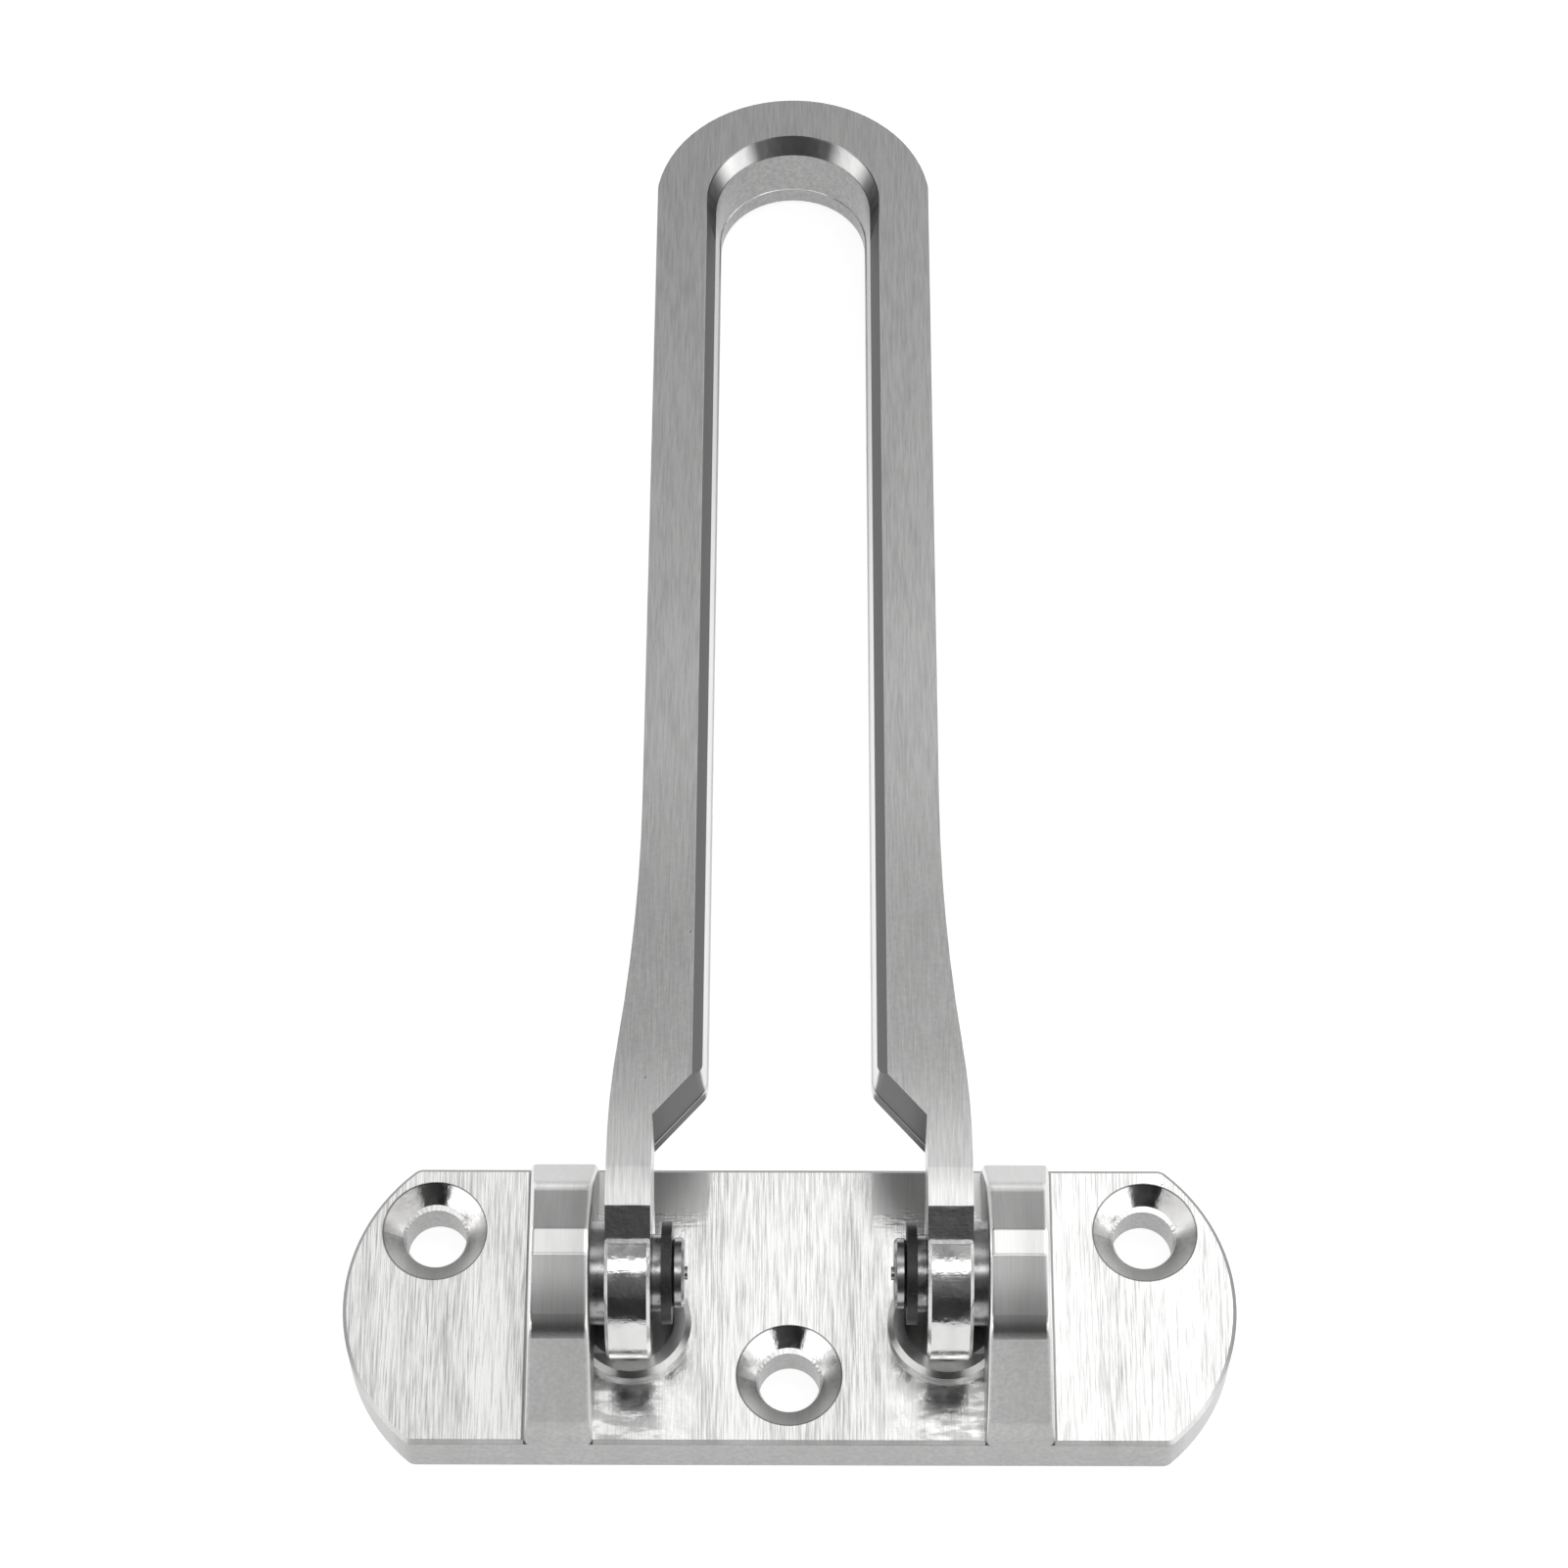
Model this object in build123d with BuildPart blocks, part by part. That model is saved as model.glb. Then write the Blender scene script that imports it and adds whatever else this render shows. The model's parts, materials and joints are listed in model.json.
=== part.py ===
"""Swing-arm half of a door guard: a screwed base plate with two lugs and a U-shaped arm.

Frame, in millimetres: the origin is the centre of the plate's back face, X runs along the
plate, Y from its front edge to the arm, and Z out of the mounting surface. The arm is built
where it lies closed, with the underside of its tip on the plane of the plate's back.
"""

import os
from math import asin, atan2, cos, hypot, radians, sin, tan

from build123d import *

# Base plate
plate_length = 80.0
plate_depth = 26.2
plate_thick = 5.7
plate_edge_half = 33.7
plate_edge_break = 0.35
plate_corner_round = 1.2

# Countersunk screw holes
screw_hole_dia = 5.5
screw_sink_dia = 9.4
screw_sink_angle = 90.0
end_hole_x = 32.0
end_hole_y = 7.0
front_hole_y = -6.7

# Lugs that carry the pins
lug_inner_x = 17.3
lug_width = 6.5
lug_draft = 3.5
lug_height = 20.6
lug_crown_half = 1.2
lug_knee_y = 6.8
lug_knee_z = 17.5
lug_foot_round = 6.0
lug_knee_round = 4.5
lug_crest_round = 0.6
lug_edge_round = 0.5

# Pivot and hinge pins
pivot_height = 13.2
pin_dia = 4.2
pin_depth = 4.6
pin_head_dia = 6.2
pin_head_thick = 1.1
pin_head_break = 0.25
pin_pip_dia = 1.2
pin_pip_height = 0.25
pin_running_gap = 0.05

# Washers on the pins
washer_hole_gap = 0.12
friction_washer_dia = 9.0
friction_washer_thick = 0.9
spring_washer_dia = 6.8
spring_washer_thick = 0.8
spring_washer_slit = 0.6
spring_washer_turn = 30.0
spacer_washer_dia = 9.2
face_gap = 0.05

# Swing arm
eye_radius = 7.6
eye_inner_x = 12.05
eye_width = 3.95
arm_reach = 130.0
arm_half_width = 13.6
arm_top = 9.3
arm_thick = 8.3
arm_edge_break = 0.3
tip_shoulder = 11.7
tip_corner_round = 4.0
slot_half = 7.3
slot_draft = 4.0
slot_end_wall = 6.2
slot_bevel_width = 0.8
slot_bevel_depth = 1.9
ledge_start = 11.7
ledge_angle = 50.5
ledge_lean = 6.0
ledge_corner_round = 2.2
flare_start = 44.0
flare_end = 6.5
flare_turn = 0.69
tail_roll_start = 5.5
tail_roll_drop = 0.28
step_start = 1.8
step_slope = 43.0
step_length = 3.55
notch_rim_turn = 8.4
notch_rim_break = 0.12
heel_round = 2.5

# Raised seat under each eye
seat_y = -2.1
seat_dia = 10.6
seat_height = 1.4
seat_break = 0.5
seat_well_dia = 7.6
seat_well_depth = 1.9
seat_side_gap = 0.45
seat_turn_gap = 0.4

# Places worked out from the sizes
eye_outer_x = eye_inner_x + eye_width
eye_centre_x = eye_inner_x + eye_width / 2
spacer_washer_x = eye_outer_x + face_gap
spacer_washer_thick = lug_inner_x - spacer_washer_x
spring_washer_x = eye_inner_x - face_gap - spring_washer_thick
friction_washer_x = spring_washer_x - friction_washer_thick
pin_head_x = friction_washer_x - pin_head_thick
pin_length = lug_inner_x + pin_depth - friction_washer_x
washer_hole_dia = pin_dia + 2 * washer_hole_gap
seat_top = plate_thick + seat_height

# The foot of each lug leaves the plate's front and rear faces without a crease
foot_lean = atan2(plate_depth / 2 - lug_knee_y, lug_knee_z - plate_thick)
foot_bend_z = plate_thick + lug_foot_round * tan(foot_lean / 2)

# The closed arm leans until the underside of its tip meets the plane of the plate's back
arm_bottom = arm_top - arm_thick
arm_tilt = asin(pivot_height / hypot(arm_reach, arm_bottom)) + atan2(arm_bottom, arm_reach)
pivot = (0, 0, pivot_height)
arm_plane = Plane(pivot, x_dir=(1, 0, 0), z_dir=(0, sin(arm_tilt), cos(arm_tilt)))
arm_side = Plane(pivot, x_dir=(0, cos(arm_tilt), -sin(arm_tilt)), z_dir=(1, 0, 0))

os.makedirs("parts", exist_ok=True)


def on_pivot(side, distance):
    """Give the plane square to the pivot axis, facing outwards, on one side of the part."""
    return Plane((side * distance, 0, pivot_height), x_dir=(0, 1, 0), z_dir=(side, 0, 0))


# One lug: its side outline, cut to the drafted outline that shows from the front
with BuildPart() as lug:
    with BuildSketch(Plane.YZ.offset(lug_inner_x)):
        with BuildLine():
            FilletPolyline(
                (plate_depth / 2, 0),
                (plate_depth / 2, foot_bend_z),
                (lug_knee_y, lug_knee_z),
                (lug_crown_half, lug_height),
                (0, lug_height),
                radius=[lug_foot_round, lug_knee_round, lug_crest_round],
            )
            mirror(about=Plane.YZ)
            Line((-plate_depth / 2, 0), (plate_depth / 2, 0))
        make_face()
    extrude(amount=lug_width)
    with BuildSketch(Plane.XZ):
        with BuildLine():
            Polyline(
                (lug_inner_x, 0),
                (lug_inner_x + lug_width, 0),
                (lug_inner_x + lug_width - lug_height * tan(radians(lug_draft)), lug_height),
                (lug_inner_x, lug_height),
                close=True,
            )
        make_face()
    extrude(amount=plate_depth, both=True, mode=Mode.INTERSECT)
    side_faces = lug.faces().filter_by(GeomType.PLANE).sort_by(SortBy.AREA)[-2:]
    side_edges = side_faces.edges().filter_by(lambda edge: edge.center().Z > plate_edge_break)
    fillet(side_edges, radius=lug_edge_round)

with BuildPart() as base_plate:
    with BuildSketch():
        with BuildLine():
            rear_edge = Line((0, plate_depth / 2), (plate_edge_half, plate_depth / 2))
            end_arc = ThreePointArc(
                rear_edge @ 1, (plate_length / 2, 0), (plate_edge_half, -plate_depth / 2)
            )
            Line(end_arc @ 1, (0, -plate_depth / 2))
            mirror(about=Plane.YZ)
        make_face()
    extrude(amount=plate_thick)
    corners = base_plate.edges().filter_by(Axis.Z)
    fillet(corners, radius=plate_corner_round)
    chamfer(base_plate.faces().sort_by(Axis.Z)[-1].edges(), length=plate_edge_break)
    with BuildSketch(Plane.XY.offset(plate_thick)):
        with Locations((eye_centre_x, seat_y), (-eye_centre_x, seat_y)):
            Circle(seat_dia / 2)
    extrude(amount=seat_height)
    chamfer(base_plate.faces().sort_by(Axis.Z)[-2:].edges(), length=seat_break)
    with BuildSketch(Plane.XY.offset(seat_top)):
        with Locations((eye_centre_x, seat_y), (-eye_centre_x, seat_y)):
            Circle(seat_well_dia / 2)
    extrude(amount=-seat_well_depth, mode=Mode.SUBTRACT)
    for side in (-1, 1):
        with BuildSketch(on_pivot(side, eye_inner_x - seat_side_gap)):
            Circle(eye_radius + seat_turn_gap)
        extrude(amount=eye_width + lug_width, mode=Mode.SUBTRACT)
    add(lug.part)
    mirror(lug.part, about=Plane.YZ)
    for side in (-1, 1):
        with BuildSketch(on_pivot(side, lug_inner_x)):
            Circle(pin_dia / 2)
        extrude(amount=pin_depth, mode=Mode.SUBTRACT)
    with Locations((end_hole_x, end_hole_y, plate_thick), (-end_hole_x, end_hole_y, plate_thick)):
        CounterSinkHole(screw_hole_dia / 2, screw_sink_dia / 2, counter_sink_angle=screw_sink_angle)
    with Locations((0, front_hole_y, plate_thick)):
        CounterSinkHole(screw_hole_dia / 2, screw_sink_dia / 2, counter_sink_angle=screw_sink_angle)

base_plate.part.label = "base_plate"
export_step(base_plate.part, "parts/base_plate.step")


# The arm: its outline from above, cut to its outline from the side
slot_end = arm_reach - slot_end_wall
throat_apex = ledge_start + eye_inner_x * tan(radians(ledge_angle))
throat_lean = arm_plane.rotated((ledge_lean, 0, 0)).z_dir
eye_front = -eye_radius - arm_edge_break
flare_mid = (
    arm_half_width + flare_turn * (eye_outer_x - arm_half_width),
    flare_start + flare_turn * (flare_end - flare_start),
)
step_top = arm_top - tail_roll_drop
step_crest = (step_start, step_top)
step_foot = (
    step_start - step_length * cos(radians(step_slope)),
    step_top - step_length * sin(radians(step_slope)),
)
notch_rim_y = -eye_radius * sin(radians(notch_rim_turn))
notch_rim_z = eye_radius * cos(radians(notch_rim_turn))

with BuildPart() as swing_arm:
    with BuildSketch(arm_plane.offset(-eye_radius)) as top_outline:
        with BuildLine():
            tip = TangentArc(
                (0, arm_reach), (arm_half_width, arm_reach - tip_shoulder), tangent=(1, 0)
            )
            Line(tip @ 1, (arm_half_width, flare_start))
            TangentArc((arm_half_width, flare_start), flare_mid, tangent=(0, -1))
            TangentArc((eye_outer_x, flare_end), flare_mid, tangent=(0, 1))
            Polyline((eye_outer_x, flare_end), (eye_outer_x, eye_front), (0, eye_front))
            mirror(about=Plane.YZ)
        make_face()
        fillet(top_outline.vertices().group_by(Axis.Y)[-1], radius=tip_corner_round)
    extrude(amount=eye_radius + arm_top)
    with BuildSketch(arm_side) as side_outline:
        with BuildLine():
            TangentArc((tail_roll_start, arm_top), step_crest, tangent=(-1, 0))
            Polyline(
                step_crest,
                step_foot,
                (0, arm_bottom),
                (arm_reach, arm_bottom),
                (arm_reach, arm_top),
                (tail_roll_start, arm_top),
            )
        make_face()
        Circle(eye_radius)
        heel = side_outline.vertices().sort_by(Axis.X)[:4].sort_by(Axis.Y)[0]
        fillet(heel, radius=heel_round)
        with BuildLine():
            Polyline(
                step_crest,
                step_foot,
                (notch_rim_y, notch_rim_z),
                (notch_rim_y, arm_top),
                close=True,
            )
        make_face(mode=Mode.SUBTRACT)
    extrude(amount=eye_outer_x, both=True, mode=Mode.INTERSECT)
    with BuildSketch(arm_plane.offset(arm_bottom)):
        with BuildLine():
            end_wall = TangentArc((0, slot_end), (slot_half, slot_end - slot_half), tangent=(1, 0))
            Polyline(end_wall @ 1, (slot_half, ledge_start), (0, ledge_start))
            mirror(about=Plane.YZ)
        make_face()
    extrude(amount=arm_thick, taper=-slot_draft, mode=Mode.SUBTRACT)
    top_face = swing_arm.faces().filter_by(arm_plane).sort_by(Axis.Z)[-1]
    slot_edges = top_face.edges().filter_by(
        lambda edge: abs(edge.center().X) < (slot_half + arm_half_width) / 2
        and ledge_start + arm_thick < edge.center().Y < slot_end + slot_end_wall / 2
    )
    chamfer(slot_edges, length=slot_bevel_width, length2=slot_bevel_depth, reference=top_face)
    with BuildSketch(arm_plane):
        with BuildLine():
            Polyline(
                (0, 2 * eye_front),
                (eye_inner_x, 2 * eye_front),
                (eye_inner_x, ledge_start),
                (0, throat_apex),
            )
            mirror(about=Plane.YZ)
        make_face()
    extrude(amount=arm_top + eye_radius, dir=throat_lean, both=True, mode=Mode.SUBTRACT)
    ledge_corners = swing_arm.edges().filter_by(
        lambda edge: edge.length > arm_thick / 2
        and abs(edge.center().X) < slot_half + slot_bevel_width
    ).sort_by(Axis.Y)[:2]
    fillet(ledge_corners, radius=ledge_corner_round)
    eyes = swing_arm.faces().filter_by(GeomType.CYLINDER).sort_by(Axis.Y)[:2]
    chamfer(eyes.edges().filter_by(GeomType.CIRCLE), length=arm_edge_break)
    eyes = swing_arm.faces().filter_by(GeomType.CYLINDER).sort_by(Axis.Y)[:2]
    notch_rims = eyes.edges().filter_by(Axis.X).group_by(Axis.Z)[-1]
    chamfer(notch_rims, length=notch_rim_break)
    with BuildSketch(Plane.YZ):
        with Locations((0, pivot_height)):
            Circle(pin_dia / 2 + pin_running_gap)
    extrude(amount=eye_outer_x, both=True, mode=Mode.SUBTRACT)

swing_arm.part.label = "swing_arm"
export_step(swing_arm.part, "parts/swing_arm.step")


# What sits on the pivot axis, once on each side
for name, side in {"left": -1, "right": 1}.items():
    with BuildPart() as hinge_pin:
        with BuildSketch(on_pivot(side, pin_head_x)):
            Circle(pin_head_dia / 2)
        extrude(amount=pin_head_thick)
        chamfer(hinge_pin.edges().filter_by(GeomType.CIRCLE), length=pin_head_break)
        with BuildSketch(on_pivot(side, friction_washer_x)):
            Circle(pin_dia / 2)
        extrude(amount=pin_length)
        with BuildSketch(on_pivot(side, pin_head_x)):
            Circle(pin_pip_dia / 2)
        extrude(amount=-pin_pip_height)
    hinge_pin.part.label = f"hinge_pin_{name}"
    export_step(hinge_pin.part, f"parts/hinge_pin_{name}.step")

    with BuildPart() as friction_washer:
        with BuildSketch(on_pivot(side, friction_washer_x)):
            Circle(friction_washer_dia / 2)
            Circle(washer_hole_dia / 2, mode=Mode.SUBTRACT)
        extrude(amount=friction_washer_thick)
    friction_washer.part.label = f"friction_washer_{name}"
    export_step(friction_washer.part, f"parts/friction_washer_{name}.step")

    with BuildPart() as spring_washer:
        with BuildSketch(on_pivot(side, spring_washer_x)):
            Circle(spring_washer_dia / 2)
            Circle(washer_hole_dia / 2, mode=Mode.SUBTRACT)
            with Locations(Rotation(0, 0, spring_washer_turn)):
                Rectangle(
                    spring_washer_dia,
                    spring_washer_slit,
                    align=(Align.MIN, Align.CENTER),
                    mode=Mode.SUBTRACT,
                )
        extrude(amount=spring_washer_thick)
    spring_washer.part.label = f"spring_washer_{name}"
    export_step(spring_washer.part, f"parts/spring_washer_{name}.step")

    with BuildPart() as spacer_washer:
        with BuildSketch(on_pivot(side, spacer_washer_x)):
            Circle(spacer_washer_dia / 2)
            Circle(washer_hole_dia / 2, mode=Mode.SUBTRACT)
        extrude(amount=spacer_washer_thick)
    spacer_washer.part.label = f"spacer_washer_{name}"
    export_step(spacer_washer.part, f"parts/spacer_washer_{name}.step")
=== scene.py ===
"""Studio picture of a door guard: a nickel base plate that carries a long slotted swing arm."""

import json
import logging
import math
from dataclasses import dataclass
from enum import Enum
from typing import Any, Mapping, Sequence, Union

import bmesh
import bpy
from mathutils import Matrix, Vector


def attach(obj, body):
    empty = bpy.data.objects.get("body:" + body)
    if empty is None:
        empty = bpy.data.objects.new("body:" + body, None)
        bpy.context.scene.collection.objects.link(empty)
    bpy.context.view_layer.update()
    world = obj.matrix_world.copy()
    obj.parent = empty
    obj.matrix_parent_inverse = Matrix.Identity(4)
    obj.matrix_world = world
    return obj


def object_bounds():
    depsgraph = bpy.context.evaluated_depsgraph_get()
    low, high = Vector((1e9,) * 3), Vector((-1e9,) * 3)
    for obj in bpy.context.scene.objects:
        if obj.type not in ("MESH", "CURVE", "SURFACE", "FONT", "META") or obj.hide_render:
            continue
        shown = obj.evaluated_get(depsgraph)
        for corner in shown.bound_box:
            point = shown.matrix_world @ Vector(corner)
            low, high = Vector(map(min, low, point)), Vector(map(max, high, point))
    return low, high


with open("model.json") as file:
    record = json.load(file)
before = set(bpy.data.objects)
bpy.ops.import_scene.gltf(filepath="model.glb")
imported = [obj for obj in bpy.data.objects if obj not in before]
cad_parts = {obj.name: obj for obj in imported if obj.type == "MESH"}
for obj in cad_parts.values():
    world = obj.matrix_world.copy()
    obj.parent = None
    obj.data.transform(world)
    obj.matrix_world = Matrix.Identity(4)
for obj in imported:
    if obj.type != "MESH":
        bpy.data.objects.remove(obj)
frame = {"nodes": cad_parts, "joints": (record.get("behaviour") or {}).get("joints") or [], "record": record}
CAD_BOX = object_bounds()

LOG = logging.getLogger("door_guard")
MM = 0.001
PER_MM = 1.0 / MM
HALF_TURN = 180.0
IMAGE_SIDE = 1601
SENSOR_WIDTH = 36.0
NOISE_MEAN = 0.5
ARM_BODY = "arm"
RIDGE = "parting_ridge"
UP = Vector((0.0, 0.0, 1.0))

Value = Union[float, "Wire"]
Span = tuple[float, float]
Colour = tuple[float, float, float]


class Slot(Enum):
    """The record's material slots."""

    PLATE = "plate_nickel"
    ARM = "arm_nickel"
    PIN = "pin_steel"
    DARK_WASHER = "washer_dark"
    STEEL_WASHER = "washer_steel"


@dataclass(frozen=True)
class Wire:
    """A shader node's output that works in Python arithmetic."""

    graph: "Graph"
    socket: bpy.types.NodeSocket

    def __add__(self, other: Value) -> "Wire":
        """Add a value."""
        return self.graph.maths("ADD", self, other)

    def __radd__(self, other: Value) -> "Wire":
        """Add to a value."""
        return self.graph.maths("ADD", other, self)

    def __sub__(self, other: Value) -> "Wire":
        """Take a value away."""
        return self.graph.maths("SUBTRACT", self, other)

    def __rsub__(self, other: Value) -> "Wire":
        """Take this away from a value."""
        return self.graph.maths("SUBTRACT", other, self)

    def __mul__(self, other: Value) -> "Wire":
        """Multiply by a value."""
        return self.graph.maths("MULTIPLY", self, other)

    def __rmul__(self, other: Value) -> "Wire":
        """Multiply a value by this."""
        return self.graph.maths("MULTIPLY", other, self)

    def __truediv__(self, other: Value) -> "Wire":
        """Divide by a value."""
        return self.graph.maths("DIVIDE", self, other)

    def __rtruediv__(self, other: Value) -> "Wire":
        """Divide a value by this."""
        return self.graph.maths("DIVIDE", other, self)

    def __neg__(self) -> "Wire":
        """Turn the sign."""
        return self.graph.maths("MULTIPLY", self, -1.0)

    def __abs__(self) -> "Wire":
        """Drop the sign."""
        return self.graph.maths("ABSOLUTE", self)

    def __or__(self, other: Value) -> "Wire":
        """Take the larger of two values, which joins two masks."""
        return self.graph.maths("MAXIMUM", self, other)

    def rise(self, low: float, high: float) -> "Wire":
        """Make a mask that rises smoothly from 0 at low to 1 at high.

        Args:
            low: The value where the mask leaves 0.
            high: The value where the mask reaches 1.

        Returns:
            The mask.
        """
        node = self.graph.node(
            "ShaderNodeMapRange",
            {"interpolation_type": "SMOOTHSTEP"},
            {"Value": self, "From Min": low, "From Max": high},
        )
        return Wire(self.graph, node.outputs["Result"])

    def fall(self, low: float, high: float) -> "Wire":
        """Make a mask that falls smoothly from 1 at low to 0 at high."""
        return 1.0 - self.rise(low, high)

    def band(self, low: float, high: float, soft: float) -> "Wire":
        """Make a mask that is 1 between two values, with soft ends."""
        return self.rise(low - soft, low + soft) * self.fall(high - soft, high + soft)

    def held(self, low: float, high: float) -> "Wire":
        """Keep the value between two limits."""
        node = self.graph.node("ShaderNodeClamp", None, {"Value": self, "Min": low, "Max": high})
        return Wire(self.graph, node.outputs["Result"])


class Graph:
    """A node tree that is filled by method calls."""

    def __init__(self, tree: bpy.types.NodeTree) -> None:
        """Take over a node tree and empty it.

        Args:
            tree: The tree of a material or of the world.
        """
        self.tree = tree
        self.tree.nodes.clear()

    def node(
        self,
        kind: str,
        settings: Mapping[str, Any] | None = None,
        sockets: Mapping[str | int, Any] | None = None,
    ) -> bpy.types.Node:
        """Add one node.

        Args:
            kind: The node's type name.
            settings: Its properties, set first; "stops" fills a colour ramp.
            sockets: A value or a wire for each input, by name or number.

        Returns:
            The new node.
        """
        made = self.tree.nodes.new(kind)
        for name, value in (settings or {}).items():
            if name == "stops":
                self._fill_ramp(made.color_ramp, value)
            else:
                setattr(made, name, value)
        for key, value in (sockets or {}).items():
            if isinstance(value, Wire):
                self.tree.links.new(value.socket, made.inputs[key])
            else:
                made.inputs[key].default_value = value
        return made

    @staticmethod
    def _fill_ramp(ramp: bpy.types.ColorRamp, stops: Sequence[Span]) -> None:
        """Give a colour ramp its grey stops.

        Args:
            ramp: The ramp to fill.
            stops: Position and grey level of each stop, in order.
        """
        while len(ramp.elements) < len(stops):
            ramp.elements.new(1.0)
        for element, (position, level) in zip(ramp.elements, stops):
            element.position = position
            element.color = (level, level, level, 1.0)

    def maths(self, operation: str, *values: Value) -> Wire:
        """Add a Math node for an operation on values."""
        made = self.node("ShaderNodeMath", {"operation": operation}, dict(enumerate(values)))
        return Wire(self, made.outputs[0])

    def length(self, first: Wire, second: Wire) -> Wire:
        """Give the length of the slant over two values at right angles."""
        return self.maths("SQRT", first * first + second * second)

    def vector(self, x: Value, y: Value, z: Value) -> Wire:
        """Join three values into a vector."""
        made = self.node("ShaderNodeCombineXYZ", None, {0: x, 1: y, 2: z})
        return Wire(self, made.outputs[0])

    def split(self, vector: Wire) -> tuple[Wire, Wire, Wire]:
        """Take a vector apart into its three values."""
        made = self.node("ShaderNodeSeparateXYZ", None, {0: vector})
        return Wire(self, made.outputs[0]), Wire(self, made.outputs[1]), Wire(self, made.outputs[2])

    def blend(self, share: Value, first: Colour | Wire, second: Colour | Wire) -> Wire:
        """Mix two colours.

        Args:
            share: How much of the second colour shows.
            first: The colour at 0.
            second: The colour at 1.

        Returns:
            The mixed colour.
        """
        ends = [end if isinstance(end, Wire) else (*end, 1.0) for end in (first, second)]
        # A Mix node has its two colours at inputs 6 and 7, and the mixed one at output 2.
        made = self.node(
            "ShaderNodeMix", {"data_type": "RGBA"}, {0: share, 6: ends[0], 7: ends[1]}
        )
        return Wire(self, made.outputs[2])

    def noise(self, vector: Wire, detail: float, roughness: float) -> Wire:
        """Sample a noise whose cells are one unit of the vector wide."""
        made = self.node(
            "ShaderNodeTexNoise",
            None,
            {"Vector": vector, "Scale": 1.0, "Detail": detail, "Roughness": roughness},
        )
        return Wire(self, made.outputs[0])

    def cells(self, vector: Wire) -> tuple[Wire, Wire]:
        """Scatter points, one in each unit cell of the vector.

        Args:
            vector: The place to look from.

        Returns:
            The distance to the nearest point, and that point's own random value.
        """
        made = self.node("ShaderNodeTexVoronoi", None, {"Vector": vector, "Scale": 1.0})
        chance, _, _ = self.split(Wire(self, made.outputs["Color"]))
        return Wire(self, made.outputs["Distance"]), chance

    def bump(self, height: Wire, depth: float) -> Wire:
        """Turn a height, whose unit is depth in metres, into a normal."""
        made = self.node(
            "ShaderNodeBump", None, {"Strength": 1.0, "Distance": depth, "Height": height}
        )
        return Wire(self, made.outputs[0])

    def surface(self, sockets: Mapping[str, Any]) -> None:
        """End a material's graph in its shader, with values or wires for the sockets."""
        shader = self.node("ShaderNodeBsdfPrincipled", None, sockets)
        self.node("ShaderNodeOutputMaterial", None, {0: Wire(self, shader.outputs[0])})


@dataclass(frozen=True)
class Place:
    """Where a shaded point lies, in millimetres, and its normal's parts across, along and up."""

    x: Wire
    y: Wire
    z: Wire
    across: Wire
    along: Wire
    up: Wire

    @classmethod
    def on(cls, graph: Graph, origin: Vector, tilt: float) -> "Place":
        """Read the point and its normal in axes that are turned about X.

        Args:
            graph: The material's graph.
            origin: The axes' origin on the piece, in metres.
            tilt: How far the axes' Y dips below the piece's own Y, in radians.

        Returns:
            The place.
        """
        source = graph.node("ShaderNodeTexCoord")
        turned = []
        for output, shift, scale in (("Object", -origin, PER_MM), ("Normal", Vector(), 1.0)):
            moved = graph.node(
                "ShaderNodeVectorMath",
                {"operation": "ADD"},
                {0: Wire(graph, source.outputs[output]), 1: shift},
            )
            mapped = graph.node(
                "ShaderNodeMapping",
                None,
                {
                    0: Wire(graph, moved.outputs[0]),
                    "Rotation": (tilt, 0.0, 0.0),
                    "Scale": (scale, scale, scale),
                },
            )
            turned.extend(graph.split(Wire(graph, mapped.outputs[0])))
        return cls(*turned)

    @property
    def graph(self) -> Graph:
        """The graph that the place is read in."""
        return self.x.graph

    def stretched(self, across: float, along: float) -> Wire:
        """Give a vector for a grain that runs along Y.

        Args:
            across: Cells per millimetre over X.
            along: Cells per millimetre over Y and Z.

        Returns:
            The vector.
        """
        return self.graph.vector(self.x * across, self.y * along, self.z * along)

    def from_axis(self, x: float, y: float) -> Wire:
        """Give the distance from an upright axis at x and y."""
        return self.graph.length(self.x - x, self.y - y)


@dataclass(frozen=True)
class Layer:
    """One noise of a finish, in cells per millimetre over X and along the other axes."""

    across: float
    along: float
    detail: float = 2.0
    roughness: float = 0.5

    def sample(self, place: Place) -> Wire:
        """Sample the noise in space."""
        cells = place.stretched(self.across, self.along)
        return place.graph.noise(cells, self.detail, self.roughness)

    def drawn(self, place: Place) -> Wire:
        """Sample the noise by X and Y alone."""
        cells = place.graph.vector(place.x * self.across, place.y * self.along, 0.0)
        return place.graph.noise(cells, self.detail, self.roughness)


@dataclass(frozen=True)
class Zones:
    """Masks of how a casting's faces were worked and where shade is painted on them, and its finest steps'
    height in millimetres.
    """

    brushed: Wire
    polished: Wire
    cast: Wire
    painted_shade: Wire
    matt: Wire
    relief: Wire


@dataclass(frozen=True)
class Grain:
    """The marks of belt, cutter, polish and mould on a casting, and its stray pits."""

    lines: Layer = Layer(7.5, 0.24, 3.0, 0.62)
    streaks: Layer = Layer(0.3, 0.05)
    cross_lines: Layer = Layer(0.35, 6.0, 3.0, 0.6)
    ripples: Layer = Layer(1.6, 1.6)
    haze: Layer = Layer(0.7, 0.7)
    haze_edge: Span = (0.3, 0.75)
    grit: Layer = Layer(2.4, 2.4, 4.0, 0.6)
    pit_cells: float = 0.3
    pit_radius: float = 0.04
    pit_share: float = 0.35
    pit_soft: float = 0.02

    def pits(self, place: Place) -> Wire:
        """Scatter a few tiny dark pits.

        Args:
            place: The shaded point.

        Returns:
            A mask that is 1 inside a pit.
        """
        distance, chance = place.graph.cells(place.stretched(self.pit_cells, self.pit_cells))
        inside = distance.fall(self.pit_radius / 2, self.pit_radius)
        return inside * chance.fall(self.pit_share - self.pit_soft, self.pit_share + self.pit_soft)


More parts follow.
